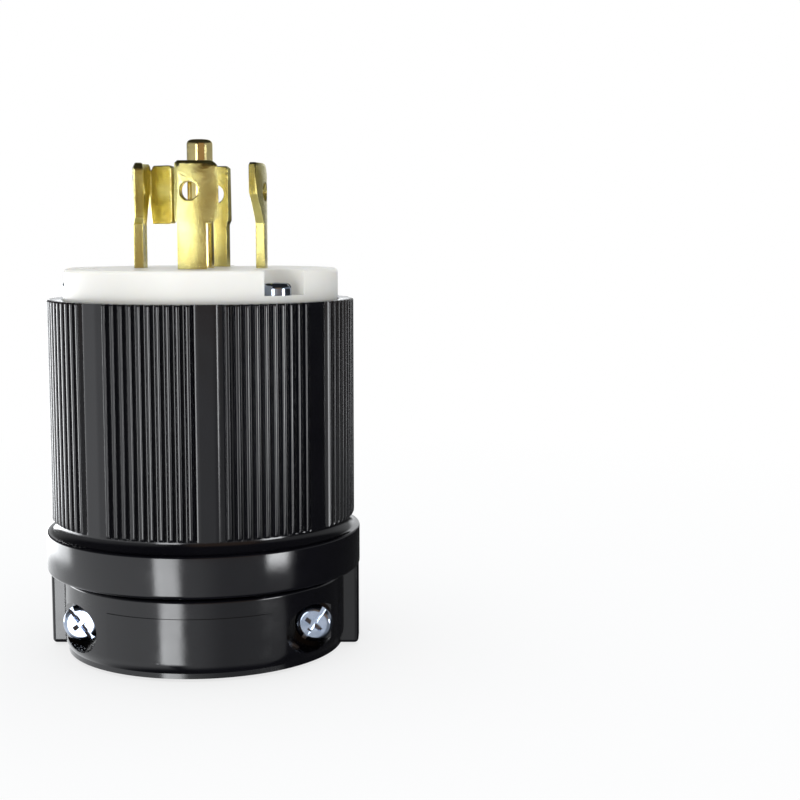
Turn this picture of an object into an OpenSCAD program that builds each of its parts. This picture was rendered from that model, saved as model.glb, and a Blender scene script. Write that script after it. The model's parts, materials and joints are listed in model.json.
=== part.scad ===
// Locking power plug, five wires: a ribbed shell with a split cord clamp, a white
// contact carrier and four curved twist-lock blades round a central ground pin.
// It stands on its cord end. Z runs up along the plug's axis to the contacts, and
// the front is -Y, the side that the clamp screws are driven from.
// Lengths are millimetres. A turn is in degrees about Z, from the front towards +X.

/* [Shell] */
// Outer radius over the ribs of the barrel
shell_r = 28.65; // [28.2:0.05:29.6]
// Height of the ribbed barrel
barrel_h = 41.3; // [38:0.1:60]
// Depth of the grooves between the ribs
rib_depth = 0.6; // [0.3:0.05:0.9]
// Ribs in each ribbed field
ribs_per_field = 10; // [7:1:11]
// Turn from one rib to the next
rib_pitch = 3.5; // [2.8:0.1:3.6]
// Ribbed fields, with a smooth grip flat between two of them
fields = 8; // [6:1:8]
// Depth of a smooth grip flat at its middle
scallop_depth = 0.75; // [0.3:0.05:1]
// Turn of the first grip flat
scallop_turn = 9.5; // [-15:0.5:15]
// Thickness of the wall behind the barrel
cord_wall = 3.2; // [2:0.1:5]
// Radius of the cavity for the wires
cavity_r = 24.2; // [23.6:0.1:25]
// Width of the hollow cove between barrel and collar
cove_r = 2.4; // [1.5:0.1:3]

/* [Collar and fins] */
// Outer radius of the smooth collar
collar_r = 29.7; // [29.4:0.05:31]
// Height of the smooth collar
collar_h = 7.6; // [6:0.1:12]
// Radius of the cord hole through the wall
cord_hole_r = 6.3; // [5:0.1:8]
// Reach of a fin from the axis
fin_r = 29.5; // [28.5:0.1:29.6]
// Thickness of a fin
fin_t = 4.9; // [4:0.1:6]
// Distance from the axis to a fin's inner end
fin_in_r = 16; // [15.7:0.1:17]

/* [Cord clamp] */
// Height of the clamp halves
clamp_h = 14.8; // [14.2:0.1:18]
// Outer radius of the clamp halves
clamp_r = 26.8; // [26.4:0.1:28]
// Gap between the clamp and the collar
clamp_gap = 0.9; // [0.3:0.1:0.9]
// Clearance between a fin and each clamp half
slide_gap = 0.25; // [0.15:0.05:0.35]
// Radius of the rounded rear edge of the clamp
clamp_edge_r = 3.5; // [1:0.1:4]
// Reach of the two bosses on the rear half, from the parting plane
boss_y = 22; // [20:0.1:24]
// Reach of the bosses to each side
boss_x = 26; // [25.8:0.1:26.2]
// Width of a boss
boss_w = 11; // [10.4:0.1:12]
// Corner radius of the bosses
boss_corner_r = 6; // [3:0.1:7]
// Height of the bosses above the cord end
boss_z = 2.6; // [1:0.1:2.8]
// Half width of the plain panel on the front half
panel_half_w = 14.8; // [10:0.1:15.4]
// Height of the plain panel
panel_h = 7.7; // [4:0.1:8]
// Lower edge of the plain panel
panel_z = 3.8; // [3.5:0.1:5]
// Thickness that the plain panel stands proud
panel_t = 0.2; // [0.1:0.05:0.4]

/* [Cord grips] */
// Outer radius of the cord grips
grip_r = 14.3; // [13.6:0.1:14.6]
// Distance from the axis to a grip's outer centre
grip_centre = 4.2; // [4:0.1:5]
// Radius of the gripping edge
grip_edge_r = 14.2; // [13:0.1:16]
// Distance from the axis to the gripping edge at its middle
grip_edge_y = 5.1; // [4.6:0.1:6.5]
// Height of the cord grips
grip_h = 12.6; // [8:0.1:13]
// Distance of the grips from the cord end
grip_z = 0.6; // [0.3:0.1:1.5]
// Width of the sloping band beside the gripping edge
grip_band = 1.7; // [1:0.1:2]
// Width of the pad on a grip
pad_w = 8.4; // [4:0.1:10]
// Thickness of the pad on a grip
pad_t = 0.4; // [0.2:0.1:0.5]

/* [Clamp screws] */
// Radius of the clamp screws
clamp_screw_r = 2.05; // [1.8:0.05:2.2]
// Distance of the clamp screws from the axis
clamp_screw_x = 21.5; // [21.2:0.1:21.6]
// Height of the clamp screws
clamp_screw_z = 7; // [6.8:0.1:8]
// Radius of the screw heads
clamp_head_r = 3.5; // [3.2:0.1:3.8]
// Height of the screw heads
clamp_head_h = 2.5; // [2:0.1:3]
// Radius of the pockets round the heads
head_pocket_r = 4.4; // [4:0.1:4.6]
// Distance of the heads' seats from the parting plane
head_seat_y = 10.6; // [8:0.1:13]
// Distance of the screws' ends from the parting plane
screw_end_y = 20.5; // [16:0.1:21]

/* [Contact carrier] */
// Radius of the white flange
flange_r = 25.7; // [25.5:0.05:25.9]
// Height that the flange stands out of the shell
flange_proud = 5.7; // [5:0.1:9]
// Depth that the flange sits in the shell
flange_seat = 3.8; // [2.5:0.1:5]
// Clearance round the flange
flange_gap = 0.2; // [0.1:0.05:0.3]
// Rounding of the flange's outer edge
flange_edge_r = 0.7; // [0.3:0.1:1.2]
// Radius of the body behind the flange
core_r = 19.4; // [19:0.1:19.6]
// Length of the body behind the flange
core_h = 16.2; // [15.8:0.1:20]
// Thickness of the terminal cover
cover_t = 3.5; // [3:0.1:6]
// Radius of the wire holes in the terminal cover
wire_hole_r = 2.7; // [2:0.1:2.9]

/* [Contacts] */
// Length of the blades in front of the flange
blade_len = 19.5; // [18.5:0.1:22]
// Outer radius of the circle that the blades lie on
blade_r = 12.5; // [12.2:0.1:12.6]
// Thickness of the blades
blade_t = 1.75; // [1.5:0.05:1.9]
// Half angle of a blade's stem
stem_turn = 12.5; // [11:0.5:13.5]
// Height of the hooked blade head
hook_h = 11.3; // [9:0.1:12.5]
// Turn from a blade's middle to the end of its hook
hook_turn = 23; // [20:0.5:25]
// Turn from the middle of the front and back blades to the heel of their heads
heel_turn = 14.5; // [14:0.5:17]
// Turn from the right blade's middle to its wide heel
wide_heel_turn = 27.5; // [20:0.5:28]
// Height of the sloping flank under a wide heel
flank_h = 5.8; // [3:0.1:8]
// Height of the lead-in slope at the blades' tips
tip_h = 1; // [0.5:0.1:1.5]
// Radius of the hole in each blade
blade_hole_r = 1.65; // [1:0.05:1.8]
// Distance of the hole from the blade's tip
blade_hole_drop = 5.4; // [4:0.1:6.5]
// Turns of the front, right, back and left blade
blade_turns = [0, 90, 173, -90];
// Turn of each blade's hole from the middle of its stem, degrees
hole_turns = [-2, -7.5, -2, 0]; // [-8:0.5:8]
// Inner end of the left blade's foot
foot_in_r = 5.9; // [4.5:0.1:8]
// Radius of the ground pin
pin_r = 2.42; // [2.2:0.01:2.6]
// Length of the ground pin in front of the flange
pin_len = 23.9; // [22:0.1:27]

/* [Terminals] */
// Radius of the terminal screws
terminal_screw_r = 1.6; // [1.4:0.05:1.75]
// Radius of the terminal screw heads
terminal_head_r = 3.2; // [2.8:0.1:3.4]
// Height of the terminal screw heads
terminal_head_h = 2.2; // [1.8:0.1:2.4]
// Width of the wire clamp plates
wire_plate_w = 8; // [7:0.1:8.1]
// Thickness of the wire clamp plates
wire_plate_t = 1.4; // [1:0.1:1.6]

/* [Assembly screws] */
// Radius of the circle of the assembly screws
assembly_circle_r = 23; // [22.8:0.1:23.2]
// Radius of the assembly screws
assembly_screw_r = 1.5; // [1.3:0.05:1.6]
// Radius of the assembly screw heads
assembly_head_r = 2.7; // [2.4:0.1:2.8]
// Height of the assembly screw heads
assembly_head_h = 2.2; // [1.5:0.1:2.4]
// Distance of the heads' seats from the flange's face
assembly_seat_drop = 4.5; // [3:0.1:4.6]
// Length of the assembly screws under their heads
assembly_screw_len = 15; // [12:0.5:18]
// Turn of the first assembly screw
assembly_turn = 42.5; // [30:0.5:55]

/* [Hidden] */
$fn = 96;

// Colours
black = [0.06, 0.06, 0.08];
white = [0.93, 0.91, 0.86];
amber = [0.80, 0.55, 0.25];
brass = [0.80, 0.65, 0.32];
zinc = [0.72, 0.75, 0.80];
grey = [0.78, 0.80, 0.77];

// Small clearances and overlaps
fit = 0.05;
loose = 0.25;
past = 1;
sink = 0.01;

// Heights, from the cord end up
collar_z = clamp_h + clamp_gap;
cove_z = collar_z + collar_h;
barrel_z = cove_z + cove_r * cos(30);
rim_z = barrel_z + barrel_h;
cavity_z = collar_z + cord_wall;
seat_z = rim_z - flange_seat;
face_z = rim_z + flange_proud;
core_z = seat_z - core_h;
blade_top_z = face_z + blade_len;
hook_z = blade_top_z - hook_h;

// Shell
root_r = shell_r - rib_depth;
neck_r = shell_r - max(rib_depth, scallop_depth) - 0.4;
rib_edge = 0.28;
rim_bore_r = flange_r + flange_gap;
collar_edge_r = 0.7;
pillar_wall = 1.6;
pillar_r = assembly_screw_r + pillar_wall;
rib_run = 0.8;
rim_edge = 0.35;
cord_hole_edge = 0.8;
fin_end_z = 0.4;
fin_w = fin_r - fin_in_r;
fin_corner_r = 0.8;

// Cord clamp
parting_y = fin_t / 2 + slide_gap;
screw_hole_r = clamp_screw_r + loose;
grip_ledge_z = grip_z + grip_h;
grip_ledge = 1.2;
inner_centre = grip_edge_r - grip_edge_y;
band_drop = 1.6;
pad_y = grip_edge_y + grip_band + 0.8;
pad_h = 1.5;

// Contacts and their terminals
blade_in_r = blade_r - blade_t;
tip_cut = 0.45;
foot_rise = 0.2;
pin_tip_r = 0.9;
shoulder = 0.3;
pin_flange = 1.6;
inset = 0.3;
web_t = 2.6;
plate_margin = 1.6;
plate_room = 0.7;
tip_reach = 2;
ground_screw_len = 7.5;
terminal_turn = 20;
terminal_z = core_z + inset;
terminal_top_z = seat_z - web_t;
terminal_mid_z = (terminal_z + terminal_top_z) / 2;
plate_y = blade_r + fit;
plate_h = terminal_top_z - terminal_z - 2 * plate_margin;
head_y = plate_y + wire_plate_t + fit;
screw_tip_y = blade_in_r - tip_reach;
window_w = wire_plate_w + 2 * plate_room;
shoulder_r = pin_r + shoulder;
collar_pin_r = pin_r + pin_flange;
collar_pin_z = core_z + tip_reach;
collar_pin_top_z = terminal_top_z - tip_reach;
ground_plate_z = collar_pin_z - fit - wire_plate_t;
ground_pocket_r = wire_plate_w / sqrt(2) + plate_room;
wire_circle_r = core_r - wire_hole_r - plate_room;

// Assembly screws
assembly_seat_z = face_z - assembly_seat_drop;
notch_r = (flange_r - core_r) * 0.7;

// Angle in the XY plane of a turn from the front
function angle_of(turn) = turn - 90;
// Radius of the barrel's outline across one rib, at a share from 0 to 1 of its pitch
function rib_point(share) = share <= rib_edge ? root_r + rib_depth * share / rib_edge
    : share >= 1 - rib_edge ? root_r + rib_depth * (1 - share) / rib_edge
    : shell_r;
// Radius of the barrel's outline across a grip flat, at a share from -1 to 1 of its width
function flat_point(share) = shell_r - 0.15 - (scallop_depth - 0.15) * (1 - share * share);

// Moves its children to a turn about the axis
module at_turn(turn) {
    rotate([0, 0, angle_of(turn)]) children();
}

// Part of a ring between two turns, as an outline
module ring_sector(inner_r, outer_r, turn_a, turn_b) {
    far = 2 * outer_r;
    difference() {
        intersection() {
            circle(outer_r);
            polygon([[0, 0], for (turn = [turn_a, (turn_a + turn_b) / 2, turn_b])
                [far * cos(turn), far * sin(turn)]]);
        }
        circle(inner_r);
    }
}

// Rectangle in the first quadrant whose outer corners are rounded, to be revolved
module rounded_profile(r, h, low_r, high_r) {
    square([r - max(low_r, high_r), h]);
    translate([0, low_r]) square([r, h - low_r - high_r]);
    square([r - low_r, h - high_r]);
    translate([0, high_r]) square([r - high_r, h - high_r]);
    translate([r - low_r, low_r]) circle(low_r);
    translate([r - high_r, h - high_r]) circle(high_r);
}

// Pan head with a combined slot and cross recess, on top of z = 0
module pan_head(r, h) {
    edge = h * 0.45;
    slot_w = r * 0.24;
    difference() {
        rotate_extrude() {
            square([r, h - edge]);
            square([r - edge, h]);
            translate([r - edge, h - edge]) circle(edge, $fn = 48);
        }
        for (turn = [0, 90])
            rotate([0, 0, turn])
                translate([-r * 0.5, -slot_w / 2, h * 0.35]) cube([r, slot_w, h]);
        translate([-r - past, -slot_w / 2, h * 0.62]) cube([2 * (r + past), slot_w, h]);
    }
}

// Barrel outline with ribbed fields and smooth grip flats
module barrel_outline() {
    field = 360 / fields;
    half_flat = (field - ribs_per_field * rib_pitch) / 2;
    polygon([for (k = [0 : fields - 1], p = concat(
        [for (s = [-1 : 0.25 : 1])
            [s * half_flat, flat_point(s)]],
        [for (n = [0 : ribs_per_field - 1], s = [rib_edge / 4, rib_edge, 0.5, 1 - rib_edge, 1])
            [half_flat + (n + s) * rib_pitch, min(rib_point(s), shell_r)]]))
        let (a = angle_of(scallop_turn) + k * field + p[0])
        if (p[0] < field - half_flat - 0.01) [p[1] * cos(a), p[1] * sin(a)]]);
}

module shell_outside() {
    // Ribbed barrel, run out to its root at both ends
    intersection() {
        translate([0, 0, barrel_z - rib_run]) linear_extrude(barrel_h + rib_run) barrel_outline();
        rotate_extrude() polygon([[0, barrel_z - rib_run], [neck_r - 0.2, barrel_z - rib_run],
            [shell_r + 0.05, barrel_z + rib_run], [shell_r + 0.05, rim_z - rim_edge],
            [shell_r - rim_edge, rim_z], [0, rim_z]]);
    }
    // Cove that runs out into the collar
    rotate_extrude() difference() {
        translate([0, cove_z - sink])
            square([neck_r + cove_r / 2, cove_r * cos(30) + sink + rib_run / 2]);
        translate([neck_r + cove_r, barrel_z]) circle(cove_r);
    }
    // Smooth collar
    translate([0, 0, collar_z])
        rotate_extrude() intersection() {
            rounded_profile(collar_r, collar_h, collar_edge_r, collar_edge_r / 2);
            square(2 * collar_r);
        }
    for (side = [-1, 1]) fin(side);
}

// Fin that the clamp halves close on, rounded at its edges and its rear corners
module fin(side) {
    difference() {
        intersection() {
            translate([side * (fin_r - fin_w / 2), 0, fin_end_z])
                linear_extrude(collar_z + cord_wall - fin_end_z)
                    fin_outline(fin_t, fin_corner_r);
            translate([side * (fin_r - fin_w / 2), fin_t, fin_end_z + collar_z])
                rotate([90, 0, 0]) linear_extrude(2 * fin_t)
                    fin_outline(2 * collar_z, fin_corner_r);
        }
        translate([side * clamp_screw_x, 0, clamp_screw_z])
            rotate([90, 0, 0]) cylinder(r = screw_hole_r, h = fin_t + 2 * past, center = true);
    }
}

// Rectangle as wide as a fin, with rounded corners
module fin_outline(h, c) {
    square([fin_w - 2 * c, h], center = true);
    square([fin_w, h - 2 * c], center = true);
    for (x = [-1, 1], y = [-1, 1])
        translate([x * (fin_w / 2 - c), y * (h / 2 - c)]) circle(c, $fn = 32);
}

module shell() {
    color(black) difference() {
        union() {
            difference() {
                shell_outside();
                translate([0, 0, cavity_z]) cylinder(r = cavity_r, h = rim_z);
            }
            for (k = [0 : 2])
                at_turn(assembly_turn + 120 * k)
                    translate([assembly_circle_r, 0, cavity_z - sink])
                        cylinder(r = pillar_r, h = rim_z - cavity_z);
        }
        translate([0, 0, seat_z]) cylinder(r = rim_bore_r, h = rim_z);
        translate([0, 0, collar_z - past]) cylinder(r = cord_hole_r, h = cord_wall + 2 * past);
        translate([0, 0, collar_z - sink])
            cylinder(r1 = cord_hole_r + cord_hole_edge, r2 = cord_hole_r, h = cord_hole_edge);
        for (k = [0 : 2])
            at_turn(assembly_turn + 120 * k)
                translate([assembly_circle_r, 0, assembly_seat_z - assembly_screw_len - past])
                    cylinder(r = assembly_screw_r + fit, h = rim_z);
    }
}

// Space behind the flange for one blade's terminal, its plate and its screw
module terminal_space(turn) {
    at_turn(turn) {
        translate([0, 0, core_z - past])
            linear_extrude(terminal_top_z + loose - core_z + past)
                ring_sector(blade_in_r - fit, blade_r + fit, -terminal_turn - 1, terminal_turn + 1);
        translate([blade_r - inset, -window_w / 2, core_z - past])
            cube([core_r, window_w, terminal_top_z + loose - core_z + past]);
        translate([screw_tip_y - inset, 0, terminal_mid_z])
            rotate([0, 90, 0]) cylinder(r = terminal_screw_r + loose, h = blade_r);
        translate([0, 0, terminal_top_z - past])
            linear_extrude(face_z - terminal_top_z + 2 * past)
                ring_sector(blade_in_r - fit, blade_r + fit, -stem_turn - 0.3, stem_turn + 0.3);
    }
}

module contact_carrier() {
    color(white) difference() {
        union() {
            translate([0, 0, seat_z])
                rotate_extrude() intersection() {
                    rounded_profile(flange_r, face_z - seat_z, 0.3, flange_edge_r);
                    square(2 * flange_r);
                }
            translate([0, 0, core_z]) cylinder(r = core_r, h = core_h + past);
        }
        for (turn = blade_turns) terminal_space(turn);
        translate([0, 0, core_z - past]) cylinder(r = shoulder_r + fit, h = face_z);
        translate([0, 0, core_z - past])
            cylinder(r = collar_pin_r + fit, h = collar_pin_top_z - core_z + past + fit);
        translate([0, 0, core_z - past])
            cylinder(r = ground_pocket_r, h = collar_pin_z - core_z + past + fit);
        for (k = [0 : 2])
            at_turn(assembly_turn + 120 * k) {
                translate([assembly_circle_r, 0, seat_z - past])
                    cylinder(r = assembly_screw_r + loose, h = face_z);
                translate([assembly_circle_r, 0, assembly_seat_z])
                    cylinder(r = notch_r, h = face_z);
                translate([assembly_circle_r, -notch_r, assembly_seat_z])
                    cube([flange_r, 2 * notch_r, face_z]);
            }
    }
}

module terminal_cover() {
    color(amber) difference() {
        translate([0, 0, core_z - cover_t]) cylinder(r = core_r, h = cover_t);
        translate([0, 0, core_z - cover_t - past])
            cylinder(r = terminal_head_r + loose, h = cover_t + 2 * past);
        for (turn = blade_turns)
            at_turn(turn) translate([wire_circle_r, 0, core_z - cover_t - past])
                cylinder(r = wire_hole_r, h = cover_t + 2 * past);
    }
}

// Blade at turn 0, from its terminal to a head with a hook and a heel
module blade(heel, flank, hole_turn, with_foot) {
    difference() {
        union() {
            translate([0, 0, terminal_z])
                linear_extrude(terminal_top_z - terminal_z)
                    ring_sector(blade_in_r, blade_r, -terminal_turn, terminal_turn);
            translate([0, 0, terminal_top_z - sink])
                linear_extrude(blade_top_z - terminal_top_z + sink)
                    ring_sector(blade_in_r, blade_r, -stem_turn, stem_turn);
            intersection() {
                translate([0, 0, hook_z]) linear_extrude(hook_h)
                    ring_sector(blade_in_r, blade_r, -heel, hook_turn);
                rotate([90, 0, 90]) linear_extrude(2 * blade_r) head_outline(heel, flank);
            }
            if (with_foot) blade_foot();
        }
        translate([0, 0, terminal_mid_z])
            rotate([0, 90, 0]) cylinder(r = terminal_screw_r + fit, h = 2 * blade_r);
        rotate([0, 0, hole_turn]) translate([0, 0, blade_top_z - blade_hole_drop])
            rotate([0, 90, 0]) cylinder(r = blade_hole_r, h = 2 * blade_r);
        // Lead-in slope round the tip
        translate([0, 0, blade_top_z - tip_h]) rotate_extrude()
            polygon([[blade_r, 0], [blade_r + past, 0], [blade_r + past, tip_h + past],
                [blade_r - tip_cut, tip_h + past], [blade_r - tip_cut, tip_h]]);
    }
}

// Outline of a blade's head as seen from outside: its hook's corners are cut on the
// right, and a flank slopes from its stem up to its heel on the left
module head_outline(heel, flank) {
    hook_w = blade_r * sin(hook_turn);
    stem_w = blade_r * sin(stem_turn);
    heel_w = blade_r * sin(heel);
    edge_w = heel_w + loose;
    corner = 1.6;
    translate([0, hook_z]) {
        polygon([[hook_w - corner, 0], [hook_w, corner], [hook_w, hook_h - corner],
            [hook_w - corner, hook_h], [-edge_w, hook_h],
            [-edge_w, flank * (edge_w - stem_w) / (heel_w - stem_w)], [-stem_w, 0]]);
        translate([hook_w - corner, hook_h - corner]) circle(corner, $fn = 48);
    }
}

// Foot bent inward from the heel of the left blade
module blade_foot() {
    rotate([0, 0, -hook_turn])
        translate([foot_in_r, 0, hook_z + foot_rise])
            cube([blade_in_r + blade_t / 2 - foot_in_r, blade_t, hook_h - foot_rise]);
}

module blade_at(k) {
    heel = [heel_turn, wide_heel_turn, heel_turn, hook_turn][k];
    flank = [0.8, flank_h, 0.8, flank_h][k];
    color(brass) at_turn(blade_turns[k]) blade(heel, flank, hole_turns[k], k == 3);
}

module ground_pin() {
    tip = pin_tip_r;
    color(brass) difference() {
        union() {
            translate([0, 0, collar_pin_z])
                cylinder(r = collar_pin_r, h = collar_pin_top_z - collar_pin_z);
            translate([0, 0, collar_pin_z])
                cylinder(r = shoulder_r, h = face_z - collar_pin_z);
            translate([0, 0, face_z - past])
                cylinder(r = pin_r, h = past + pin_len - tip);
            translate([0, 0, face_z + pin_len - tip - sink]) rotate_extrude() {
                square([pin_r - tip, tip + sink]);
                intersection() {
                    translate([pin_r - tip, 0]) circle(tip, $fn = 48);
                    square([pin_r, tip + sink]);
                }
            }
        }
        translate([0, 0, collar_pin_z - past])
            cylinder(r = terminal_screw_r + fit, h = past + ground_screw_len);
    }
}

// Flat plate that presses a wire, lying on z = 0
module wire_plate(h) {
    difference() {
        translate([-h / 2, -wire_plate_w / 2, 0]) cube([h, wire_plate_w, wire_plate_t]);
        translate([0, 0, -past])
            cylinder(r = terminal_screw_r + loose, h = wire_plate_t + 2 * past);
    }
}

module wire_plate_at(k) {
    color(brass) at_turn(blade_turns[k]) translate([plate_y, 0, terminal_mid_z])
        rotate([0, 90, 0]) wire_plate(plate_h);
}

module wire_plate_ground() {
    color(brass) translate([0, 0, ground_plate_z]) wire_plate(wire_plate_w);
}

// Terminal screw with its head on top of z = 0 and its shank below
module terminal_screw(length) {
    pan_head(terminal_head_r, terminal_head_h);
    translate([0, 0, -length]) cylinder(r = terminal_screw_r, h = length + sink);
}

module terminal_screw_at(k) {
    color(zinc) at_turn(blade_turns[k]) translate([head_y, 0, terminal_mid_z])
        rotate([0, 90, 0]) terminal_screw(head_y - screw_tip_y);
}

module terminal_screw_ground() {
    color(brass) translate([0, 0, ground_plate_z - fit]) rotate([180, 0, 0])
        terminal_screw(wire_plate_t + ground_screw_len - past);
}

module assembly_screw(k) {
    color(zinc) at_turn(assembly_turn + 120 * k)
        translate([assembly_circle_r, 0, assembly_seat_z]) {
            rotate([0, 0, 35]) pan_head(assembly_head_r, assembly_head_h);
            translate([0, 0, -assembly_screw_len])
                cylinder(r = assembly_screw_r, h = assembly_screw_len + sink);
        }
}

// Boss that a clamp screw threads into, as an outline that reaches towards +Y
module boss_outline() {
    c = boss_corner_r;
    translate([boss_x - boss_w, 0]) square([boss_w - c, boss_y]);
    translate([boss_x - boss_w, 0]) square([boss_w, boss_y - c]);
    translate([boss_x - c, boss_y - c]) circle(c);
}

// One half of the cord clamp, on the +Y side, with its screw holes and its own bosses as children
module clamp_half(hole_r) {
    difference() {
        union() {
            rotate_extrude() intersection() {
                rounded_profile(clamp_r, clamp_h, clamp_edge_r, 0.6);
                square(2 * clamp_r);
            }
            children();
        }
        translate([-2 * clamp_r, parting_y - 2 * clamp_r, -past])
            cube([4 * clamp_r, 2 * clamp_r, clamp_h + 2 * past]);
        translate([0, -grip_centre, -past]) cylinder(r = grip_r + fit, h = grip_ledge_z + past);
        translate([0, -grip_centre, -past])
            cylinder(r = grip_r - grip_ledge, h = clamp_h + 2 * past);
        for (side = [-1, 1])
            translate([side * clamp_screw_x, 0, clamp_screw_z])
                rotate([-90, 0, 0]) cylinder(r = hole_r, h = 2 * boss_y);
    }
}

module clamp_half_front() {
    color(black) difference() {
        mirror([0, 1, 0]) clamp_half(screw_hole_r)
            // Plain panel between the screws
            intersection() {
                translate([0, 0, panel_z]) cylinder(r = clamp_r + panel_t, h = panel_h);
                translate([-panel_half_w, 0, 0]) cube([2 * panel_half_w, 2 * clamp_r, clamp_h]);
            }
        for (side = [-1, 1])
            translate([side * clamp_screw_x, -head_seat_y, clamp_screw_z])
                rotate([90, 0, 0]) cylinder(r = head_pocket_r, h = clamp_r);
    }
}

module clamp_half_rear() {
    color(black) clamp_half(clamp_screw_r + fit)
        for (side = [0, 1])
            mirror([side, 0, 0]) translate([0, 0, boss_z])
                linear_extrude(clamp_h - boss_z) boss_outline();
}

// Crescent that grips the cord, on the +Y side
module cord_grip() {
    translate([0, 0, grip_z]) difference() {
        union() {
            translate([0, -grip_centre, 0]) cylinder(r = grip_r, h = grip_h);
            translate([-pad_w / 2, pad_y - pad_h / 2, -pad_t]) cube([pad_w, pad_h, pad_t + sink]);
        }
        translate([-2 * clamp_r, parting_y - 2 * clamp_r, -past])
            cube([4 * clamp_r, 2 * clamp_r, clamp_h + 2 * past]);
        translate([0, -inner_centre, -past]) cylinder(r = grip_edge_r, h = clamp_h + 2 * past);
        translate([0, -inner_centre, -sink])
            cylinder(r1 = grip_edge_r + grip_band, r2 = grip_edge_r, h = band_drop);
    }
}

module cord_grip_front() {
    color(grey) mirror([0, 1, 0]) cord_grip();
}

module cord_grip_rear() {
    color(grey) cord_grip();
}

module clamp_screw(side) {
    length = head_seat_y + screw_end_y;
    color(zinc) translate([side * clamp_screw_x, -head_seat_y, clamp_screw_z])
        rotate([90, 0, 0]) rotate([0, 0, side * 55]) {
            pan_head(clamp_head_r, clamp_head_h);
            translate([0, 0, -length]) cylinder(r = clamp_screw_r, h = length + sink);
        }
}

shell();
contact_carrier();
terminal_cover();
blade_at(0);  // blade_front
blade_at(1);  // blade_right
blade_at(2);  // blade_back
blade_at(3);  // blade_left
ground_pin();
wire_plate_at(0);  // wire_plate_front
wire_plate_at(1);  // wire_plate_right
wire_plate_at(2);  // wire_plate_back
wire_plate_at(3);  // wire_plate_left
wire_plate_ground();
terminal_screw_at(0);  // terminal_screw_front
terminal_screw_at(1);  // terminal_screw_right
terminal_screw_at(2);  // terminal_screw_back
terminal_screw_at(3);  // terminal_screw_left
terminal_screw_ground();
assembly_screw(0);  // assembly_screw_1
assembly_screw(1);  // assembly_screw_2
assembly_screw(2);  // assembly_screw_3
clamp_half_front();
clamp_half_rear();
cord_grip_front();
cord_grip_rear();
clamp_screw(-1);  // clamp_screw_left
clamp_screw(1);  // clamp_screw_right
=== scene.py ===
"""Looks of the locking power plug: its finishes, its moulded ribs and its bent blades."""
import json
import math

import bmesh
import bpy
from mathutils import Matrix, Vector, geometry


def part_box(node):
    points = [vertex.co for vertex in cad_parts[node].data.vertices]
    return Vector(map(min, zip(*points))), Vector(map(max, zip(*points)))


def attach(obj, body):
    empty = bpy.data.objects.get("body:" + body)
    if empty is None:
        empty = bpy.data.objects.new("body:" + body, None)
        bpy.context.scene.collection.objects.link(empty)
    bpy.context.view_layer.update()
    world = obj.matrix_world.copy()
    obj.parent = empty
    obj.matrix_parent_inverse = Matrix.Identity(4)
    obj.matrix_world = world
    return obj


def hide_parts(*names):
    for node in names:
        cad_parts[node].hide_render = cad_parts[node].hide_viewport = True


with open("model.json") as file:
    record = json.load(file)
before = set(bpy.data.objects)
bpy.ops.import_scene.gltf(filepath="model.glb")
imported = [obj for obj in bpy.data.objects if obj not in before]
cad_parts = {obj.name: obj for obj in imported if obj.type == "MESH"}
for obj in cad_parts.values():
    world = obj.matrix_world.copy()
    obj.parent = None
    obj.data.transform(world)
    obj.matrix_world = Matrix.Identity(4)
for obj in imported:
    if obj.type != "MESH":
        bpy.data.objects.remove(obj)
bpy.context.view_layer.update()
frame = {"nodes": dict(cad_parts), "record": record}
MM = 0.001


def top_of(node):
    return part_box(node)[1].z / MM


def foot_of(node):
    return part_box(node)[0].z / MM


# ---------------------------------------------------------------- sizes, in millimetres
RIM_Z = top_of("shell")
FACE_Z = top_of("contact_carrier")
CORE_Z = foot_of("contact_carrier")
BLADE_TOP_Z = top_of("blade_front")
PIN_TOP_Z = top_of("ground_pin")
CLAMP_TOP_Z = top_of("clamp_half_front")
COLLAR_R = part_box("shell")[1].x / MM
FLANGE_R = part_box("contact_carrier")[1].x / MM

# Shell
COLLAR_Z = CLAMP_TOP_Z + 0.9
COVE_Z = COLLAR_Z + 7.6
COVE_R = 2.4
BARREL_Z = COVE_Z + COVE_R * math.cos(math.radians(30))
SHELL_R = 28.65
RIB_DEPTH = 0.95
RIBS_PER_FIELD = 10
RIB_PITCH = 3.5
FIELDS = 8
SCALLOP_DEPTH = 0.75
SCALLOP_TURN = 9.5
FACE_TURN = 3.9
FACE_DEEP_R = SHELL_R - 0.5
NECK_R = SHELL_R - SCALLOP_DEPTH - 0.4
CAVITY_Z = COLLAR_Z + 3.2
CAVITY_R = 24.2
SEAT_Z = RIM_Z - 3.8
RIM_BORE_R = FLANGE_R + 0.2
CORD_HOLE_R = 6.3
CORD_HOLE_EDGE = 0.8

# Fins
FIN_R = 29.5
FIN_IN_R = 20
FIN_T = 4.9
FIN_CORNER_R = 0.8

# Contacts
BLADE_R = 12.5
BLADE_T = 1.75
STEM_TURN = 12.5
HOOK_TURN = 23
HOOK_H = 11.3
HOOK_Z = BLADE_TOP_Z - HOOK_H
BLADE_HOLE_R = 1.65
BLADE_HOLE_DROP = 5.4
TIP_H = 1.0
TIP_CUT = 0.45
BLADES = {
    "blade_front": dict(turn=0, heel=14.5, flank=0.8, hole_turn=-2),
    "blade_right": dict(turn=90, heel=27.5, flank=5.8, hole_turn=-7.5),
    "blade_back": dict(turn=173, heel=14.5, flank=0.8, hole_turn=-2),
    "blade_left": dict(turn=-90, heel=21, flank=5.8, hole_turn=0, foot=6.0),
}
TERMINAL_TURN = 20
TERMINAL_Z = CORE_Z + 0.3
TERMINAL_TOP_Z = SEAT_Z - 2.6
TERMINAL_HOLE_R = 1.65
PIN_R = 2.42
PIN_TIP_R = 0.9

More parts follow.
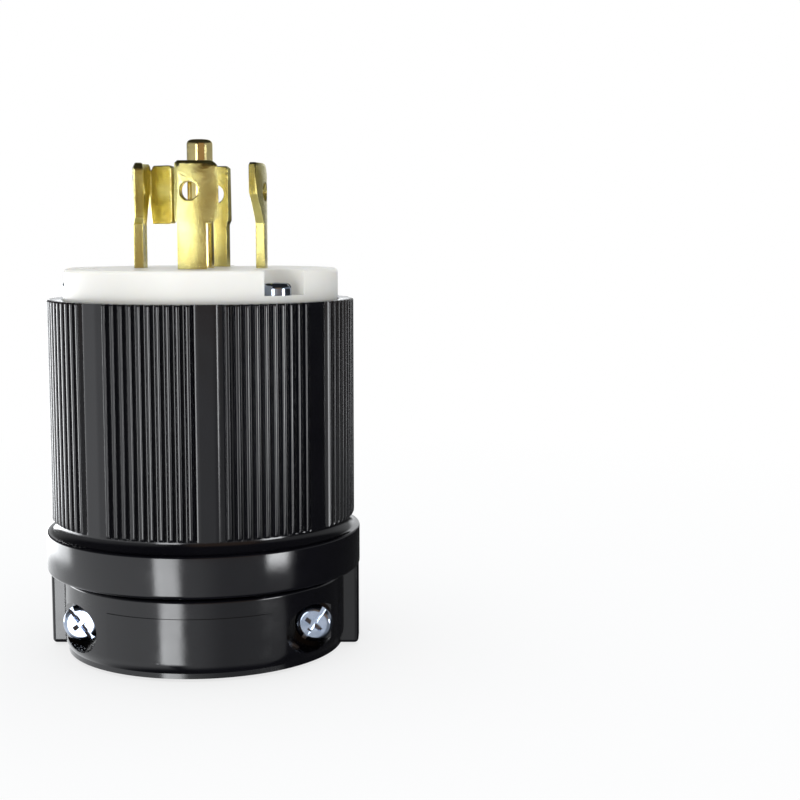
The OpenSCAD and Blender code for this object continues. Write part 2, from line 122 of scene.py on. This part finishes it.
# Light: the lamps in watts, and the even glow that matt surfaces get
TOP_POWER = 5
FRONT_POWER = 0.8
EVEN_LIGHT = (0.70, 0.71, 0.71)

# Floor: its shadow shows within a reach of the plug, and past a second distance, in metres, it is plain
SHADOW_REACH = 0.06
PLAIN_FROM = 0.3
GLOW_NEAR = 0.75


# ---------------------------------------------------------------- mesh helpers
def polar(r, turn, z):
    """A point at a radius, a turn in degrees from the front and a height, in metres."""
    a = math.radians(turn)
    return Vector((r * math.sin(a), -r * math.cos(a), z)) * MM


def piece(name, bm, material, nodes, smooth=35):
    """Makes an object of a bmesh, smooth across edges flatter than an angle, and fits it to the frame."""
    bmesh.ops.remove_doubles(bm, verts=bm.verts, dist=1e-6)
    bmesh.ops.recalc_face_normals(bm, faces=bm.faces)
    limit = math.radians(smooth)
    for f in bm.faces:
        f.smooth = True
    for e in bm.edges:
        e.smooth = len(e.link_faces) == 2 and e.calc_face_angle(0) < limit
    mesh = bpy.data.meshes.new(name)
    bm.to_mesh(mesh)
    bm.free()
    mesh.materials.append(material)
    obj = bpy.data.objects.new(name, mesh)
    bpy.context.scene.collection.objects.link(obj)
    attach(obj, "root")
    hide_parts(*nodes)
    return obj


def ring_grid(bm, rows, closed=True):
    """Joins rows of points, each a closed ring, into a skin. closed joins the last row to the first."""
    rings = [[bm.verts.new(p) for p in row] for row in rows]
    pairs = list(zip(rings, rings[1:]))
    if closed:
        pairs.append((rings[-1], rings[0]))
    for low, high in pairs:
        for i in range(len(low)):
            j = (i + 1) % len(low)
            bm.faces.new((low[i], low[j], high[j], high[i]))
    return rings


def revolve(bm, profile, steps=128, base=Vector((0, 0, 0))):
    """Turns a profile of (radius, height) about +Z, capped at both of its ends."""
    turns = [360 * i / steps for i in range(steps)]
    rings = ring_grid(bm, [[polar(r, t, z) + base for t in turns] for r, z in profile], closed=False)
    bm.faces.new(reversed(rings[0]))
    bm.faces.new(rings[-1])


def arc(centre, r, start, end, steps):
    """Points on an arc in a plane, from one angle in degrees to another."""
    angles = [math.radians(start + (end - start) * i / steps) for i in range(steps + 1)]
    return [(centre[0] + r * math.cos(a), centre[1] + r * math.sin(a)) for a in angles]


# ---------------------------------------------------------------- materials
RANGE_SOCKETS = ("From Min", "From Max", "To Min", "To Max")


def material(name):
    m = bpy.data.materials.new(name)
    m.use_nodes = True
    m.node_tree.nodes.clear()
    out = m.node_tree.nodes.new("ShaderNodeOutputMaterial")
    shader = m.node_tree.nodes.new("ShaderNodeBsdfPrincipled")
    m.node_tree.links.new(shader.outputs[0], out.inputs[0])
    return m, shader


def noise(m, scale, detail=4, roughness=0.5):
    """Noise in the object's own metres."""
    nodes, links = m.node_tree.nodes, m.node_tree.links
    place = nodes.new("ShaderNodeTexCoord")
    texture = nodes.new("ShaderNodeTexNoise")
    texture.inputs["Scale"].default_value = scale
    texture.inputs["Detail"].default_value = detail
    texture.inputs["Roughness"].default_value = roughness
    links.new(place.outputs["Object"], texture.inputs["Vector"])
    return texture.outputs["Fac"]


def spread(m, source, low, high, from_low=0.3, from_high=0.7):
    """Maps a texture to a range of values."""
    node = m.node_tree.nodes.new("ShaderNodeMapRange")
    for socket, value in zip(RANGE_SOCKETS, (from_low, from_high, low, high)):
        node.inputs[socket].default_value = value
    m.node_tree.links.new(source, node.inputs["Value"])
    return node.outputs[0]


def tint(m, source, colours):
    """A colour ramp of (place, colour) stops along a texture."""
    node = m.node_tree.nodes.new("ShaderNodeValToRGB")
    ramp = node.color_ramp
    while len(ramp.elements) < len(colours):
        ramp.elements.new(0.5)
    for element, (place, colour) in zip(ramp.elements, colours):
        element.position = place
        element.color = (*colour, 1)
    m.node_tree.links.new(source, node.inputs["Fac"])
    return node.outputs["Color"]


def bump(m, shader, source, height, strength=1.0):
    """Fine relief of a height in metres."""
    node = m.node_tree.nodes.new("ShaderNodeBump")
    node.inputs["Strength"].default_value = strength
    node.inputs["Distance"].default_value = height
    m.node_tree.links.new(source, node.inputs["Height"])
    m.node_tree.links.new(node.outputs[0], shader.inputs["Normal"])
    return node


def black_nylon():
    m, s = material("black_nylon")
    cloud = noise(m, 90)
    m.node_tree.links.new(tint(m, cloud, [(0.3, (0.0018, 0.0018, 0.0030)), (0.7, (0.0030, 0.0029, 0.0044))]),
                          s.inputs["Base Color"])
    m.node_tree.links.new(spread(m, noise(m, 260), 0.10, 0.17), s.inputs["Roughness"])
    bump(m, s, noise(m, 330, 5, 0.6), 0.00002, 0.6)
    return m


def milky_nylon():
    m, s = material("milky_nylon")
    cloud = noise(m, 60)
    m.node_tree.links.new(tint(m, cloud, [(0.3, (0.72, 0.708, 0.67)), (0.7, (0.755, 0.742, 0.705))]),
                          s.inputs["Base Color"])
    m.node_tree.links.new(spread(m, noise(m, 300), 0.28, 0.4), s.inputs["Roughness"])
    s.inputs["Specular IOR Level"].default_value = 0.15
    s.inputs["Subsurface Weight"].default_value = 0.25
    s.inputs["Subsurface Radius"].default_value = (1.0, 0.8, 0.5)
    s.inputs["Subsurface Scale"].default_value = 0.002
    bump(m, s, noise(m, 900, 3), 0.000008, 0.4)
    return m


def brass(name, low, high, rough, grain):
    """Bright brass: patches of tarnish, and a fine grain of a height in metres."""
    m, s = material(name)
    m.node_tree.links.new(tint(m, noise(m, 220), [(0.3, low), (0.7, high)]), s.inputs["Base Color"])
    s.inputs["Metallic"].default_value = 1
    m.node_tree.links.new(spread(m, noise(m, 420), rough, rough + 0.1), s.inputs["Roughness"])
    bump(m, s, noise(m, 5200, 2, 0.6), grain, 1)
    return m


def zinc():
    m, s = material("bright_zinc")
    cloud = noise(m, 300)
    m.node_tree.links.new(tint(m, cloud, [(0.3, (0.24, 0.29, 0.38)), (0.7, (0.42, 0.47, 0.57))]),
                          s.inputs["Base Color"])
    s.inputs["Metallic"].default_value = 1
    m.node_tree.links.new(spread(m, noise(m, 700), 0.1, 0.2), s.inputs["Roughness"])
    bump(m, s, noise(m, 2200, 2), 0.000006, 0.5)
    return m


def pale_grip():
    m, s = material("pale_grip")
    cloud = noise(m, 120)
    m.node_tree.links.new(tint(m, cloud, [(0.3, (0.56, 0.62, 0.57)), (0.7, (0.66, 0.70, 0.66))]),
                          s.inputs["Base Color"])
    m.node_tree.links.new(spread(m, noise(m, 400), 0.35, 0.5), s.inputs["Roughness"])
    bump(m, s, noise(m, 1300, 3), 0.00001, 0.5)
    return m


def amber():
    m, s = material("amber_plastic")
    cloud = noise(m, 120)
    m.node_tree.links.new(tint(m, cloud, [(0.3, (0.46, 0.20, 0.05)), (0.7, (0.62, 0.32, 0.09))]),
                          s.inputs["Base Color"])
    m.node_tree.links.new(spread(m, noise(m, 400), 0.2, 0.32), s.inputs["Roughness"])
    bump(m, s, noise(m, 1300, 3), 0.000008, 0.5)
    return m


BLACK = black_nylon()
MILKY = milky_nylon()
BRASS = brass("rolled_brass", (0.60, 0.50, 0.16), (0.80, 0.74, 0.30), 0.11, 0.00006)
PIN_BRASS = brass("turned_brass", (0.76, 0.62, 0.26), (0.86, 0.74, 0.36), 0.08, 0.000004)
ZINC = zinc()
GRIP = pale_grip()
AMBER = amber()
FINISH = {"black": BLACK, "white": MILKY, "brass": BRASS, "zinc": ZINC, "grey": GRIP, "amber": AMBER}


def finish_cad_nodes():
    """Gives every CAD node the finish of its slot in the record."""
    for part in frame["record"]["subparts"]:
        obj = frame["nodes"][part["node"]]
        obj.data.materials.clear()
        obj.data.materials.append(FINISH[part["material_slot"]])


# ---------------------------------------------------------------- shell
def rib_profile():
    """One rib as (share of its pitch, share of its height): steep groove walls and a rounded crest."""
    foot, wall, crest, wall_h = 0.05, 0.27, 0.39, 0.6
    edge = [(crest - (crest - wall) * math.cos(a), wall_h + (0.98 - wall_h) * math.sin(a))
            for a in (math.radians(22.5 * i) for i in range(5))]
    left = [(0, 0), (foot, 0.02), ((foot + wall) / 2, 0.31)] + edge
    return left + [(0.5, 1)] + [(1 - share, h) for share, h in reversed(left)][:-1]


def barrel_ring():
    """Round the barrel, (turn, depth below the ribs' tops) of each column of its skin."""
    field = 360 / FIELDS
    half_flat = (field - RIBS_PER_FIELD * RIB_PITCH) / 2
    ring = []
    for k in range(FIELDS):
        start = SCALLOP_TURN + k * field
        middle = start - 0.7
        for i in range(11):
            turn = FACE_TURN * (-1 + i / 5)
            edge_drop = 0.3 * max(0, abs(turn) / FACE_TURN - 0.92) / 0.08
            face_r = FACE_DEEP_R / math.cos(math.radians(turn))
            ring.append((middle + turn, SHELL_R - face_r + edge_drop ** 2))
        for n in range(RIBS_PER_FIELD):
            for share, h in rib_profile():
                ring.append((start + half_flat + (n + share) * RIB_PITCH, RIB_DEPTH * (1 - h)))
    return ring


def shell_rows():
    """The shell's profile as (radius, height, share of the ribs' relief), round its whole section."""
    rim_edge = 0.35
    run = 0.8
    bore_edge = 0.25
    rows = [(RIM_BORE_R, RIM_Z - bore_edge, 0), (RIM_BORE_R + 0.07, RIM_Z - 0.07, 0),
            (RIM_BORE_R + bore_edge, RIM_Z, 0)]
    rows += [(SHELL_R - rim_edge - 0.5, RIM_Z, 0)]
    rows += [(SHELL_R - rim_edge + x, RIM_Z - rim_edge + y, 1)
             for x, y in reversed(arc((0, 0), rim_edge, 0, 90, 5))]
    rows += [(SHELL_R, RIM_Z - rim_edge - 0.5 * i, 1) for i in range(1, 3)]
    rows += [(SHELL_R, z, 1) for z in (BARREL_Z + 30, BARREL_Z + 20, BARREL_Z + 10, BARREL_Z + 2)]
    rows += [(SHELL_R - run * (1 - math.cos(a)), BARREL_Z + run - run * math.sin(a), 1)
             for a in (math.radians(10 * i) for i in range(7))]
    rows += [(r, z, 0) for r, z in arc((NECK_R + COVE_R, BARREL_Z), COVE_R, 180, 240, 10)]
    top_edge, low_edge = 0.35, 0.7
    rows += [(COLLAR_R - top_edge + x, COVE_Z - top_edge + y, 0)
             for x, y in reversed(arc((0, 0), top_edge, 0, 90, 5))]
    rows += [(COLLAR_R - low_edge + x, COLLAR_Z + low_edge + y, 0)
             for x, y in reversed(arc((0, 0), low_edge, -90, 0, 7))]
    rows += [(r, COLLAR_Z, 0) for r in (22, 14, CORD_HOLE_R + CORD_HOLE_EDGE)]
    rows += [(CORD_HOLE_R, COLLAR_Z + CORD_HOLE_EDGE, 0), (CORD_HOLE_R, CAVITY_Z, 0)]
    rows += [(r, CAVITY_Z, 0) for r in (14, CAVITY_R)]
    rows += [(CAVITY_R, SEAT_Z, 0), (RIM_BORE_R, SEAT_Z, 0)]
    return rows


def shell():
    bm = bmesh.new()
    ring = barrel_ring()
    rows = []
    for r, z, share in shell_rows():
        rows.append([polar(min(r, SHELL_R - dip * share) if share else r, turn, z) for turn, dip in ring])
    ring_grid(bm, rows)
    fins(bm)
    return piece("ribbed_shell", bm, BLACK, ["shell"], smooth=40)


def fins(bm):
    """Two fins below the collar that the clamp halves close on, rounded at their edges."""
    low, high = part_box("clamp_half_front")[0].z / MM + 0.4, COLLAR_Z + 0.5
    for side in (-1, 1):
        loops = []
        round_r = FIN_CORNER_R
        for inset, z in fin_levels(low, high, round_r):
            far, near = FIN_R - inset, FIN_IN_R
            half = FIN_T / 2 - inset * 0.8
            corner = max(round_r - inset, 0.15)
            outline = [(near, -half), (far - corner, -half)]
            outline += arc((far - corner, -half + corner), corner, -80, 0, 8)
            outline += arc((far - corner, half - corner), corner, 0, 90, 9)
            outline += [(near, half)]
            loops.append([Vector((side * x, y, z)) * MM for x, y in outline])
        rings = ring_grid(bm, loops, closed=False)
        bm.faces.new(rings[0])
        bm.faces.new(reversed(rings[-1]))


def fin_levels(low, high, round_r):
    """(inset, height) up a fin: rounded at its free end."""
    end = [(round_r * (1 - math.sin(a)), low + round_r * (1 - math.cos(a)))
           for a in (math.radians(15 * i) for i in range(7))]
    return end + [(0, high)]


# ---------------------------------------------------------------- bent plates
def offset_loop(loop, inset):
    """The loop moved inwards, for a loop that runs counter-clockwise, by mitred corners."""
    moved = []
    for i, p in enumerate(loop):
        a, b = Vector(loop[i - 1]), Vector(loop[(i + 1) % len(loop)])
        here = Vector(p)
        before, after = (here - a).normalized(), (b - here).normalized()
        normal_a, normal_b = Vector((-before.y, before.x)), Vector((-after.y, after.x))
        middle = (normal_a + normal_b).normalized()
        moved.append(here + middle * inset / max(middle.dot(normal_a), 0.5))
    return moved


def plate(loops, thickness, edge, cut_step, place, edge_steps=4):
    """A flat plate with rounded edges, from an outer loop and the holes' loops, bent by place(u, v, w)."""
    bm = bmesh.new()
    curve = [(edge * (1 - math.sin(a)), edge * (1 - math.cos(a)))
             for a in (math.radians(90 * i / edge_steps) for i in range(edge_steps + 1))]
    levels = curve + [(inset, thickness - w) for inset, w in reversed(curve)]
    caps = []
    for loop in loops:
        rows = [[Vector((*p, w)) for p in offset_loop(loop, inset)] for inset, w in levels]
        rings = ring_grid(bm, rows, closed=False)
        caps.append((rings[0], rings[-1]))
    for side in (0, 1):
        rims = [cap[side] for cap in caps]
        flat = [v for rim in rims for v in rim]
        for triangle in geometry.tessellate_polygon([[v.co.xy.to_3d() for v in rim] for rim in rims]):
            bm.faces.new([flat[i] for i in triangle])
    low = min(v.co.x for v in bm.verts)
    high = max(v.co.x for v in bm.verts)
    for i in range(1, int((high - low) / cut_step)):
        bmesh.ops.bisect_plane(bm, geom=bm.verts[:] + bm.edges[:] + bm.faces[:], dist=1e-5,
                               plane_co=(low + i * cut_step, 0, 0), plane_no=(1, 0, 0))
    for v in bm.verts:
        v.co = place(*v.co) * MM
    return bm


def circle_loop(u, v, r, steps=40):
    """A hole's loop, clockwise."""
    return [(u + r * math.cos(a), v - r * math.sin(a))
            for a in (2 * math.pi * i / steps for i in range(steps))]


def run(turn):
    """Arc length at the blades' outer radius."""
    return math.radians(turn) * BLADE_R


def blade_outline(heel, flank, foot):
    """A blade unrolled, counter-clockwise, as (arc length, height)."""
    corner = 1.6
    hook, stem = run(HOOK_TURN), run(STEM_TURN)
    outline = [(-run(TERMINAL_TURN), TERMINAL_Z), (run(TERMINAL_TURN), TERMINAL_Z),
               (run(TERMINAL_TURN), TERMINAL_TOP_Z), (stem, TERMINAL_TOP_Z), (stem, HOOK_Z)]
    outline += [(hook - 1.6, HOOK_Z), (hook, HOOK_Z + 1.15)]
    outline += arc((hook - corner, BLADE_TOP_Z - corner), corner, 0, 90, 10)
    if foot:
        end = -run(heel) - foot
        outline += [(-run(heel) + 0.3, BLADE_TOP_Z), (-run(heel) - 0.5, BLADE_TOP_Z - 0.5),
                    (-run(heel) - 0.9, BLADE_TOP_Z - 1.1), (-run(heel) - 1.5, BLADE_TOP_Z - 0.9),
                    (-run(heel) - 2.1, BLADE_TOP_Z - 0.25), (end + 0.7, BLADE_TOP_Z - 0.2)]
        outline += [(end + 0.2, BLADE_TOP_Z - 0.4), (end, BLADE_TOP_Z - 0.9), (end, HOOK_Z + 0.7),
                    (end + 0.25, HOOK_Z + 0.2), (end + 0.8, HOOK_Z)]
        outline += [(-run(heel) - 1.4, HOOK_Z), (-run(heel) - 1.0, HOOK_Z + 1.2),
                    (-run(heel) - 0.3, HOOK_Z + flank)]
    else:
        outline += [(-run(heel) + 0.5, BLADE_TOP_Z), (-run(heel), BLADE_TOP_Z - 0.5)]
    outline += [(-run(heel), HOOK_Z + flank), (-stem, HOOK_Z), (-stem, TERMINAL_TOP_Z),
                (-run(TERMINAL_TURN), TERMINAL_TOP_Z)]
    return outline


def blade(name, turn, heel, flank, hole_turn, foot=0):
    """A strip blade bent to its circle, with a lead-in slope round its tip."""
    fold_r = 1.15
    mid_r = BLADE_R - BLADE_T / 2
    fold_u = -run(heel)
    fold_len = fold_r * math.pi / 2

    def place(u, v, w):
        depth = w - BLADE_T / 2
        slope = max(0, (v - (BLADE_TOP_Z - TIP_H)) / TIP_H)
        if w > BLADE_T / 2:
            depth -= TIP_CUT * slope
        if not foot or u > fold_u:
            return Vector(polar(mid_r + depth, turn + math.degrees(u / BLADE_R), v)) / MM
        start = math.radians(turn - heel)
        out = Vector((math.sin(start), -math.cos(start), 0))
        along = Vector((-math.cos(start), -math.sin(start), 0))
        a = min((fold_u - u) / fold_len, 1) * math.pi / 2
        centre = out * (mid_r - fold_r)
        p = centre + (out * math.cos(a) + along * math.sin(a)) * (fold_r + depth)
        rest = max(0, fold_u - u - fold_len)
        return p - out * rest + Vector((0, 0, v))

    loops = [blade_outline(heel, flank, foot),
             circle_loop(run(hole_turn), BLADE_TOP_Z - BLADE_HOLE_DROP, BLADE_HOLE_R),
             circle_loop(0, (TERMINAL_Z + TERMINAL_TOP_Z) / 2, TERMINAL_HOLE_R)]
    bm = plate(loops, BLADE_T, 0.22, 0.35, place)
    strip = piece(name, bm, BRASS, [name], smooth=50)
    strip.modifiers.new("even_reflections", "WEIGHTED_NORMAL").keep_sharp = True
    return strip


def ground_pin():
    """The straight round pin with its rounded tip and its flange inside the carrier."""
    bm = bmesh.new()
    low, flange_top, flange_r = CORE_Z + 2, TERMINAL_TOP_Z - 2, PIN_R + 1.6
    profile = [(flange_r, low), (flange_r, flange_top), (PIN_R, flange_top + 0.02), (PIN_R, FACE_Z),
               (PIN_R, PIN_TOP_Z - PIN_TIP_R - 0.1)]
    profile += arc((PIN_R - PIN_TIP_R, PIN_TOP_Z - PIN_TIP_R), PIN_TIP_R, 0, 82, 8)
    profile += [(PIN_R * 0.35, PIN_TOP_Z)]
    revolve(bm, profile, 96)
    return piece("round_ground_pin", bm, PIN_BRASS, ["ground_pin"])


# ---------------------------------------------------------------- stage, light and camera
def studio_world():
    """White to the camera, an even glow to matt surfaces, and bands of soft light to the gloss."""
    world = bpy.data.worlds.new("studio")
    bpy.context.scene.world = world
    world.use_nodes = True
    nodes, links = world.node_tree.nodes, world.node_tree.links
    nodes.clear()

    def math_node(kind, a, b=None, c=None):
        node = nodes.new("ShaderNodeMath")
        node.operation = kind
        for socket, value in zip(node.inputs, (a, b, c)):
            if value is None:
                continue
            if isinstance(value, (int, float)):
                socket.default_value = value
            else:
                links.new(value, socket)
        return node.outputs[0]

    def band(value, low, low_full, high_full, high):
        """1 between the full marks, fading to 0 at the outer ones."""
        rise = nodes.new("ShaderNodeMapRange")
        fall = nodes.new("ShaderNodeMapRange")
        for node, marks in ((rise, (low, low_full, 0, 1)), (fall, (high_full, high, 1, 0))):
            node.interpolation_type = "SMOOTHSTEP"
            for socket, number in zip(RANGE_SOCKETS, marks):
                node.inputs[socket].default_value = number
            links.new(value, node.inputs["Value"])
        return math_node("MULTIPLY", rise.outputs[0], fall.outputs[0])

    place = nodes.new("ShaderNodeTexCoord")
    axes = nodes.new("ShaderNodeSeparateXYZ")
    links.new(place.outputs["Generated"], axes.inputs[0])
    x, y, z = axes.outputs
    azimuth = math_node("DEGREES", math_node("ARCTAN2", x, math_node("MULTIPLY", y, -1)))
    height = math_node("DEGREES", math_node("ARCSINE", z))
    white, brown = (0.96, 0.98, 1.0), (1.0, 0.62, 0.36)
    around = (-400, -399, 399, 400)
    parts = [
        # (strength, colour, azimuth band, height band)
        (0.035, white, around, (-100, -99, 99, 100)),
        (1.2, white, (-181, -180, -27, -22), (-60, -30, -1, 3)),
        (5.5, white, (-181, -180, -110, -99), (-13, -9.5, -1, 1)),
        (0.85, white, (-16, -9, -4, 24), (-60, -30, -4, -1)),
        (0.42, white, (-4, 24, 71, 75), (-60, -30, -4, -1)),
        (9.5, white, (-31, -27, -15, -9), (-30, -20, 1.0, 3.6)),
        (14.0, white, (50, 54, 66, 71), (-12.5, -6, -1, 1)),
        (0.32, brown, (-12, 3, 40, 58), (-5, 0, 14, 28)),
        (0.22, white, (-181, -180, -110, -95), (-1, 3, 10, 28)),
        (0.35, white, (-110, -95, -30, -15), (-1, 3, 10, 28)),
        (0.35, white, (48, 62, 180, 181), (-0.5, 1.5, 14, 28)),
        (0.75, white, (158, 168, 180, 181), (-3, 0, 20, 40)),
        (0.75, white, (-181, -180, -168, -158), (-3, 0, 20, 40)),
    ]
    total = None
    for strength, colour, turns, heights in parts:
        light = math_node("MULTIPLY", math_node("MULTIPLY", band(azimuth, *turns), band(height, *heights)),
                          strength)
        tinted = nodes.new("ShaderNodeVectorMath")
        tinted.operation = "SCALE"
        tinted.inputs[0].default_value = colour
        links.new(light, tinted.inputs["Scale"])
        if total is None:
            total = tinted.outputs[0]
            continue
        summed = nodes.new("ShaderNodeVectorMath")
        links.new(total, summed.inputs[0])
        links.new(tinted.outputs[0], summed.inputs[1])
        total = summed.outputs[0]
    seen = nodes.new("ShaderNodeLightPath").outputs["Is Camera Ray"]
    studio = nodes.new("ShaderNodeBackground")
    backdrop = nodes.new("ShaderNodeBackground")
    mix = nodes.new("ShaderNodeMixShader")
    out = nodes.new("ShaderNodeOutputWorld")
    links.new(total, studio.inputs["Color"])
    even = nodes.new("ShaderNodeBackground")
    matt = nodes.new("ShaderNodeMixShader")
    even.inputs["Color"].default_value = (*EVEN_LIGHT, 1)
    links.new(nodes.new("ShaderNodeLightPath").outputs["Is Diffuse Ray"], matt.inputs[0])
    links.new(studio.outputs[0], matt.inputs[1])
    links.new(even.outputs[0], matt.inputs[2])
    links.new(seen, mix.inputs[0])
    links.new(matt.outputs[0], mix.inputs[1])
    links.new(backdrop.outputs[0], mix.inputs[2])
    backdrop.inputs["Color"].default_value = (1, 1, 1, 1)
    links.new(mix.outputs[0], out.inputs[0])


def soft_lamp(name, place, target, size, power):
    """A large soft lamp that lights the finishes without a shine of its own."""
    data = bpy.data.lights.new(name, "AREA")
    data.shape = "SQUARE"
    data.size = size
    data.energy = power
    obj = bpy.data.objects.new(name, data)
    obj.location = place
    obj.rotation_euler = (Vector(target) - Vector(place)).to_track_quat("-Z", "Y").to_euler()
    obj.visible_glossy = False
    obj.visible_camera = False
    bpy.context.scene.collection.objects.link(obj)


def floor():
    """Plain pale floor: white to the camera, keeps a faint shadow, and unseen in the plug's gloss."""
    bm = bmesh.new()
    bmesh.ops.create_grid(bm, x_segments=1, y_segments=1, size=6)
    mesh = bpy.data.meshes.new("floor")
    bm.to_mesh(mesh)
    bm.free()
    obj = bpy.data.objects.new("floor", mesh)
    bpy.context.scene.collection.objects.link(obj)
    m = bpy.data.materials.new("pale_floor")
    m.use_nodes = True
    nodes, links = m.node_tree.nodes, m.node_tree.links
    nodes.clear()
    path = nodes.new("ShaderNodeLightPath")
    card = nodes.new("ShaderNodeBsdfDiffuse")
    glow = nodes.new("ShaderNodeEmission")
    clear = nodes.new("ShaderNodeBsdfTransparent")
    seen = nodes.new("ShaderNodeMixShader")
    gone = nodes.new("ShaderNodeMixShader")
    either = nodes.new("ShaderNodeMath")
    share = nodes.new("ShaderNodeMath")
    out = nodes.new("ShaderNodeOutputMaterial")
    card.inputs["Color"].default_value = (0.93, 0.94, 0.96, 1)
    glow.inputs["Strength"].default_value = 1.0
    either.operation = "MAXIMUM"
    share.operation = "MULTIPLY"
    place = nodes.new("ShaderNodeTexCoord")
    far = nodes.new("ShaderNodeVectorMath")
    far.operation = "LENGTH"
    fade = nodes.new("ShaderNodeMapRange")
    for socket, number in zip(RANGE_SOCKETS, (SHADOW_REACH, PLAIN_FROM, GLOW_NEAR, 1.0)):
        fade.inputs[socket].default_value = number
    links.new(place.outputs["Object"], far.inputs[0])
    links.new(far.outputs["Value"], fade.inputs["Value"])
    links.new(path.outputs["Is Camera Ray"], share.inputs[0])
    links.new(fade.outputs[0], share.inputs[1])
    links.new(share.outputs[0], seen.inputs[0])
    links.new(card.outputs[0], seen.inputs[1])
    links.new(glow.outputs[0], seen.inputs[2])
    links.new(path.outputs["Is Glossy Ray"], either.inputs[0])
    links.new(path.outputs["Is Shadow Ray"], either.inputs[1])
    links.new(either.outputs[0], gone.inputs[0])
    links.new(seen.outputs[0], gone.inputs[1])
    links.new(clear.outputs[0], gone.inputs[2])
    links.new(gone.outputs[0], out.inputs[0])
    mesh.materials.append(m)


def camera():
    """The photograph's angle: from the front and a little to the right, looking slightly down."""
    data = bpy.data.cameras.new("camera")
    data.lens = 65.25
    obj = bpy.data.objects.new("camera", data)
    obj.location = Vector((37.5, -275, 78.35)) * MM
    obj.rotation_euler = (math.radians(90 - 6.453), 0, 0)
    bpy.context.scene.collection.objects.link(obj)
    bpy.context.scene.camera = obj


finish_cad_nodes()
shell()
for blade_name, blade_sizes in BLADES.items():
    blade(blade_name, **blade_sizes)
ground_pin()
studio_world()
soft_lamp("top_lamp", (-0.1, 0.0, 1.1), (0, 0, 0.05), 1.4, TOP_POWER)
soft_lamp("front_lamp", (-0.35, -1.0, 0.55), (0, 0, 0.05), 1.0, FRONT_POWER)
floor()
camera()
bpy.context.scene.view_settings.view_transform = "Standard"
